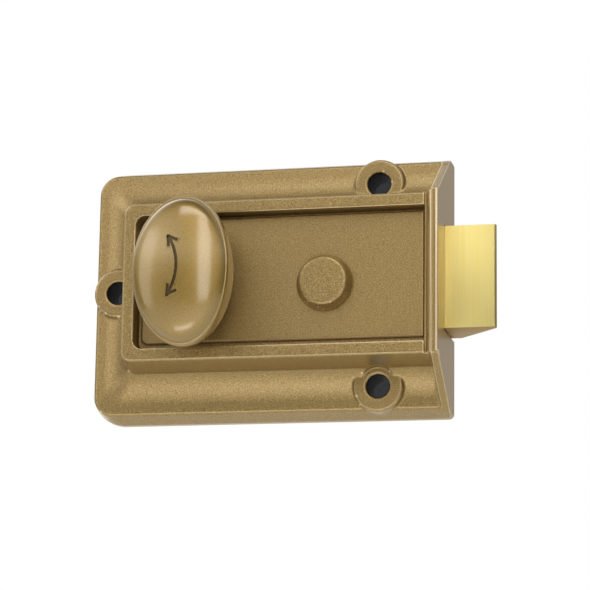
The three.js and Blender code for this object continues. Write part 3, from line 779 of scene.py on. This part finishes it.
def knob_rings():
    """The knob's sections, from the neck's end over the flare and the side band to the middle of the dome."""
    neck_end = -KNOB_HIGH.y
    rings = [level_ring(1, depth, 1) for depth in (neck_end, neck_end + 0.15, KNOB_FLARE - 2, KNOB_FLARE)]
    steps = 12
    for step in range(1, steps + 1):
        angle = math.pi / 2 * step / steps
        depth = KNOB_FLARE + (KNOB_RIM - KNOB_FLARE - 1) * (1 - math.cos(angle))
        rings.append(level_ring(0.99, depth, 1 - math.sin(angle)))
    rings.append(level_ring(1, KNOB_RIM - 0.75))
    rings.append(level_ring(1, KNOB_RIM - 0.1))
    for share, drop in ((1, 0.85), (0.997, 0.5), (0.99, 0.22), (0.978, 0.07), (0.962, 0)):
        rings.append(knob_ring(share, lambda angle, drop=drop: crease_depth(angle) - drop))
    shares = (
        CREASE_SHARE, 0.95, 0.942, 0.93, 0.915, 0.9, 0.88, 0.855, 0.82, 0.78, 0.72, 0.65,
        0.55, 0.45, 0.35, 0.25, 0.15, 0.04,
    )
    rings += [knob_ring(s, lambda angle, s=s: crease_depth(angle) + dome_rise(s, angle)) for s in shares]
    return rings


def ribbon(name, path, width, under, over):
    """A strip that follows a path of (x, z) over the knob's dome, from under its surface to over it."""
    rings = []
    for i, (x, z) in enumerate(path):
        before = Vector(path[max(0, i - 1)])
        after = Vector(path[min(len(path) - 1, i + 1)])
        along = (after - before).normalized()
        side = Vector((-along.y, along.x)) * width / 2
        depth = dome_depth(x, z)
        bottom, top = -(depth - under), -(depth + over)
        left = (SPINDLE_X + x - side.x, z - side.y)
        right = (SPINDLE_X + x + side.x, z + side.y)
        corners = ((left, bottom), (right, bottom), (right, top), (left, top))
        rings.append([(edge[0], y, edge[1]) for edge, y in corners])
    return loft(name, rings)


def turn_mark(width, under, over):
    """A plain curved arrow with a head at each end, which shows that the knob turns."""
    centre_x, radius, spread, head = -11.9, 12, 36, 2.6  # the spread in degrees
    shaft = arc(centre_x, 0, radius, -spread, spread, 24)
    strips = [ribbon("mark_shaft", shaft, width, under, over)]
    for end, way in ((spread, 1), (-spread, -1)):
        tip = arc(centre_x, 0, radius, end, end, 1)[0]
        along = math.radians(end + 90 * way)
        for lean in (150, -150):
            barb = along + math.radians(lean)
            reach = (-width / 2, head / 2, head + width / 2 - 0.35)
            path = [(tip[0] + t * math.cos(barb), tip[1] + t * math.sin(barb)) for t in reach]
            strips.append(ribbon("mark_barb", path, width, under, over))
    return strips


def knob_casting():
    """An oval turn: round neck, flared underside, side band and domed face with an engraved mark."""
    knob = loft("knob_casting", knob_rings())
    smooth = knob.modifiers.new("smooth", "SUBSURF")
    smooth.levels = 2
    smooth.render_levels = 2
    bake(knob)
    join(knob, *turn_mark(1.3, 0.4, 0.14))
    cut(knob, spindle_bore(), grub_hole(), *turn_mark(0.75, 0.35, CUT))
    finish(knob, "turn", GLOSS_BRONZE, ["knob"], 40)
    shade_engraving(knob)


def spindle_bore():
    low, high = box_mm("spindle")
    radius = (high.x - low.x) / 2 + GAP
    return bar("bore", radius, -KNOB_HIGH.y - CUT, -low.y + GAP, SPINDLE_X, 0, 64)


def grub_hole():
    low, high = box_mm("knob_grub_screw")
    radius = (high.z - low.z) / 2 + GAP
    return bar_along_throw("grub_hole", radius, SPINDLE_X, high.x + 3, (low.y + high.y) / 2)


def shade_engraving(knob):
    """Darkens the bottom of the mark, whose faces lie just under the dome."""
    knob.data.materials.append(ENGRAVING_SHADE)
    for face in knob.data.polygons:
        x, z = face.center.x / MM - SPINDLE_X, face.center.z / MM
        if math.hypot(x, z) < 10 and 0.1 < dome_depth(x, z) + face.center.y / MM < 1:
            face.material_index = 1


# ---------------------------------------------------------------- bolt, snib and back plate

def bolt_side():
    """The bolt seen from above, as (x, y): round nose, bevel at the back and a rebate for the tail."""
    tip, front, back = BOLT_HIGH.x, BOLT_LOW.y, BOLT_HIGH.y
    tail_front = box_mm("bolt_tail")[0].y - GAP
    rebate_x = 41.5
    bevel_end_x = 47.15
    tip_back = -13.2
    return [
        (BOLT_LOW.x, front), (tip - 0.6, front), (tip - 0.28, front + 0.1), (tip - 0.08, front + 0.32),
        (tip, front + 0.65), (tip, tip_back - 0.3), (tip - 0.12, tip_back + 0.1), (bevel_end_x, back),
        (rebate_x, back), (rebate_x, tail_front), (BOLT_LOW.x, tail_front),
    ]


def bolt_bores():
    """Holes for the tail's two rivets, and the bore for the spring's guide rod."""
    x, z = middle(box_mm("bolt_tail_rivet_upper"))
    low, high = box_mm("spring_guide_rod")
    guide_radius, guide_end = 1.9, 45.5
    guide = bar_along_throw("guide_bore", guide_radius, BOLT_LOW.x - CUT, guide_end, (low.y + high.y) / 2)
    rivet_radius, rivet_depth = 1.8, 12.4
    return [guide, *[bar("rivet_hole", rivet_radius, 0, rivet_depth, x, side * z) for side in (1, -1)]]


def bolt_head():
    bolt = layer("latch_bolt_brass", bolt_side(), BOLT_LOW.z, BOLT_HIGH.z)
    cut(bolt, *bolt_bores())
    bevel(bolt, 0.18, 30)
    bake(bolt)
    finish(bolt, "bolt", BRASS, ["latch_bolt"], 40)
    bolt.data.materials.append(DULL_SHADED_BRASS)
    # The front gets the bright brass; the other faces get the darker brass, partly a sawn finish, partly painted
    # shade.
    for face in bolt.data.polygons:
        face.material_index = 0 if face.normal.y < -0.5 else 1


def snib_plate():
    """The sliding cover in the recess, chamfered all round, with holes for the knob's neck and the stud."""
    low, high = PLATE_LOW, PLATE_HIGH
    front, back = -low.y, -high.y
    chamfer = 0.35
    outline = rounded_rectangle(low.x, high.x, low.z, high.z, 1.6, 0.4)
    inner = rounded_rectangle(low.x + chamfer, high.x - chamfer, low.z + chamfer, high.z - chamfer, 1.25, 0.2)
    plate = loft("snib_plate_cover", [
        [(x, -back, z) for x, z in outline],
        [(x, -(front - chamfer), z) for x, z in outline],
        [(x, -front, z) for x, z in inner],
    ])
    half, corner = NECK_HOLE, NECK_HOLE - TINY
    hole = rounded_rectangle(
        SPINDLE_X - half, SPINDLE_X + half, -half, half + SNIB_TRAVEL, corner, corner, steps=20
    )
    cut(
        plate,
        slab("neck_hole", hole, front + CUT, back - CUT),
        bar("stud_hole", STUD_HOLE, back - CUT, front + CUT, BUTTON.x, BUTTON.z),
    )
    soften(plate, 0.16, 1)
    finish(plate, "snib", BRONZE, ["snib_plate"], 180)


def snib_button():
    """A round thumb button that tapers to a rounded edge and a flat face."""
    base, front = -BUTTON_HIGH.y, -BUTTON_LOW.y
    radius = (BUTTON_HIGH.x - BUTTON_LOW.x) / 2
    face = 5.72
    profile = [
        (TINY, base), (radius - 0.1, base), (radius, base + 0.15), (radius - 0.25, base + 0.9),
        (face + 0.25, front - 0.75), (face + 0.21, front - 0.45), (face + 0.12, front - 0.27),
        (face - 0.05, front - 0.14), (face - 0.45, front), (3, front), (TINY, front),
    ]
    button = turned("snib_button_turned", profile, BUTTON.x, BUTTON.z, 96)
    low, high = box_mm("snib_stud")
    bore = (high.x - low.x) / 2 + GAP
    cut(button, bar("bore", bore, base - CUT, -low.y + GAP, BUTTON.x, BUTTON.z))
    soften(button, 0.16, 1)
    finish(button, "snib", BRONZE, ["snib_button"], 180)


def coil_travel(turn, turns, length, closed, tight):
    """How far along the spring a turn has come: the closed turns at each end lie tight together."""
    pitch = (length - 2 * closed * tight) / (turns - 2 * closed)
    low = min(turn, closed) * tight
    high = max(0, turn - (turns - closed)) * tight
    return low + high + min(max(turn - closed, 0), turns - 2 * closed) * pitch


def bolt_spring():
    """The compression spring as a round wire, with its end turns closed up."""
    wire = 0.4  # radius
    turns = 11
    steps = turns * 40
    end = wire + 0.05
    length = SPRING_HIGH.x - SPRING_LOW.x - 2 * end
    coil = (SPRING_HIGH.z - SPRING_LOW.z) / 2 - wire
    axis_y = (SPRING_LOW.y + SPRING_HIGH.y) / 2
    along = Vector((1, 0, 0))
    rings = []
    for step in range(steps + 1):
        turn = turns * step / steps
        a = 2 * math.pi * turn
        x = SPRING_LOW.x + end + coil_travel(turn, turns, length, closed=1.2, tight=2.3 * wire)
        centre = Vector((x, axis_y + coil * math.sin(a), coil * math.cos(a)))
        out = Vector((0, math.sin(a), math.cos(a)))
        rings.append([centre + out * across + along * up for across, up in circle(wire, 12)])
    spring = loft("bolt_spring_wire", rings)
    finish(spring, "case", SPRING_STEEL, ["bolt_spring"], 60)
    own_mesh(spring)


def dress_frame():
    """Finishes for the CAD nodes that stay as they are: the steel and brass fittings."""
    finishes = {"zinc_plated_steel": STEEL, "spring_steel": SPRING_STEEL, "brass": TURNED_BRASS}
    slots = {part["node"]: part["material_slot"] for part in frame["record"]["subparts"]}
    for name, node in frame["nodes"].items():
        if node.hide_render:
            continue
        node.data.materials.clear()
        node.data.materials.append(finishes[slots[name]])
        bevel(node, 0.12 * MM, 40)


# ---------------------------------------------------------------- studio

SKY_LIGHT = 3.3
# The sky's light by the height of its direction (-1 down, 1 up), in front of the door and behind it
SKY_FRONT = [(-0.4, 0.28), (-0.15, 0.1), (0.05, 0.1), (0.25, 0.235), (0.42, 0.56), (0.64, 0.33), (0.85, 0.06)]
SKY_BACK = [(-0.2, 0.53), (0.15, 0.3), (0.3, 0.3), (0.62, 0.66), (0.84, 0.52), (0.97, 0.03)]
# Its share by how far to the left (-1) or right (1) it comes from
SKY_ACROSS = [(-0.92, 0.42), (-0.7, 1), (-0.4, 1), (-0.12, 0.53), (0.65, 0.51), (0.9, 0.31)]


def square(name, corners):
    return make(name, corners, [(0, 1, 2, 3)])


def shade_cards_behind_holes():
    """A small dark card far behind each screw hole, hidden by the case: painted shade seen through the hole."""
    view = bpy.context.scene.camera.matrix_world
    distance = 5  # from the camera, as a multiple of the latch's distance
    half = 0.021  # metres
    for i, (x, z) in enumerate(LUGS):
        hole = Vector((x, -LUG / 2, z)) * MM
        centre = view.translation + (hole - view.translation) * distance
        signs = ((-1, -1), (1, -1), (1, 1), (-1, 1))
        corners = [centre + view.to_3x3() @ Vector((a * half, b * half, 0)) for a, b in signs]
        card = square(f"shade_card_{i + 1}", corners)
        card.data.materials.append(SHADE_CARD)


def floor_material():
    """Pale grey, lit a little from within so that it stays white below the latch."""
    shader = Shader("studio_floor")
    mottle = shader.noise(shader.place(), scale=3, detail=2)
    shader.feed(shader.ramp(mottle, [(0.3, (0.84, 0.84, 0.83)), (0.7, (0.88, 0.88, 0.87))]), "Base Color")
    shader.constants({"Roughness": 0.8, "Emission Color": (1, 1, 1, 1), "Emission Strength": 0.13})
    return shader.material


def studio():
    bpy.context.scene.view_settings.view_transform = "Standard"
    half, drop = 2, 0.5  # metres
    floor = square("studio_floor", [
        (-half, -half, -drop), (half, -half, -drop), (half, half, -drop), (-half, half, -drop)
    ])
    floor.data.materials.append(floor_material())


def sky():
    """Plain white to the camera; its light on the latch follows the direction that it comes from."""
    world = bpy.data.worlds.new("studio_world")
    bpy.context.scene.world = world
    world.use_nodes = True
    nodes = Nodes(world.node_tree)
    split = nodes.node("ShaderNodeSeparateXYZ")
    nodes.link(nodes.node("ShaderNodeTexCoord").outputs["Generated"], split.inputs["Vector"])

    def share(axis, stops):
        place = nodes.spread(split.outputs[axis], 0, 1, (-1, 1))
        return nodes.ramp(place, [((at + 1) / 2, (light, light, light)) for at, light in stops])

    behind = nodes.spread(split.outputs["Y"], 0, 1, (-0.2, 0.8))
    light = nodes.mix("MIX", behind, share("Z", SKY_FRONT), share("Z", SKY_BACK))
    light = nodes.mix("MULTIPLY", 1, light, share("X", SKY_ACROSS))
    to_camera = nodes.node("ShaderNodeLightPath").outputs["Is Camera Ray"]
    light = nodes.mix("MIX", to_camera, light, (1 / SKY_LIGHT,) * 3)
    background = next(n for n in world.node_tree.nodes if n.type == "BACKGROUND")
    nodes.link(light, background.inputs["Color"])
    background.inputs["Strength"].default_value = SKY_LIGHT


def direction(azimuth, elevation):
    """The direction from the latch to a place round it: azimuth 0 is in front, and 90 on the bolt's side."""
    a, e = math.radians(azimuth), math.radians(elevation)
    return Vector((math.sin(a) * math.cos(e), -math.cos(a) * math.cos(e), math.sin(e)))


def softbox(name, azimuth, elevation, distance, size, power):
    """An area light aimed at the latch; its distance and size in metres, its power in watts."""
    back = direction(azimuth, elevation)
    light = bpy.data.lights.new(name, "AREA")
    light.shape = "RECTANGLE"
    light.size, light.size_y = size
    light.energy = power
    lamp = bpy.data.objects.new(name, light)
    lamp.location = back * distance
    lamp.rotation_euler = back.to_track_quat("Z", "Y").to_euler()
    bpy.context.scene.collection.objects.link(lamp)


def lights():
    softbox("left_softbox", -54, 12, distance=1.3, size=(0.4, 1.1), power=1.85)
    softbox("right_softbox", 16, 18, distance=1.4, size=(0.32, 1.6), power=5.0)
    softbox("upper_softbox", 4, 56, distance=1.3, size=(0.8, 0.3), power=2.8)
    softbox("lower_softbox", -8, -36, distance=0.7, size=(0.34, 0.15), power=0.4)


def camera():
    """The photograph's view: from the right and from below, through a long lens."""
    back = direction(12.897, -12.355)
    roll = math.radians(0.841)
    distance = 0.60588  # metres
    target = Vector((8.096, -13, -2.754)) * MM
    right = (-back).cross(Vector((0, 0, 1))).normalized()
    up = right.cross(-back)
    tilted_right = right * math.cos(roll) + up * math.sin(roll)
    tilted_up = up * math.cos(roll) - right * math.sin(roll)
    data = bpy.data.cameras.new("camera")
    data.lens = 152.97
    data.sensor_width = 36
    data.clip_start = 0.02
    view = bpy.data.objects.new("camera", data)
    turn = Matrix((tilted_right, tilted_up, back)).transposed().to_4x4()
    view.matrix_world = Matrix.Translation(target + back * distance) @ turn
    bpy.context.scene.collection.objects.link(view)
    bpy.context.scene.camera = view


# ---------------------------------------------------------------- build

camera()
studio()
sky()
shade_cards_behind_holes()
lights()
case_cover()
knob_casting()
bolt_head()
snib_plate()
snib_button()
bolt_spring()
dress_frame()
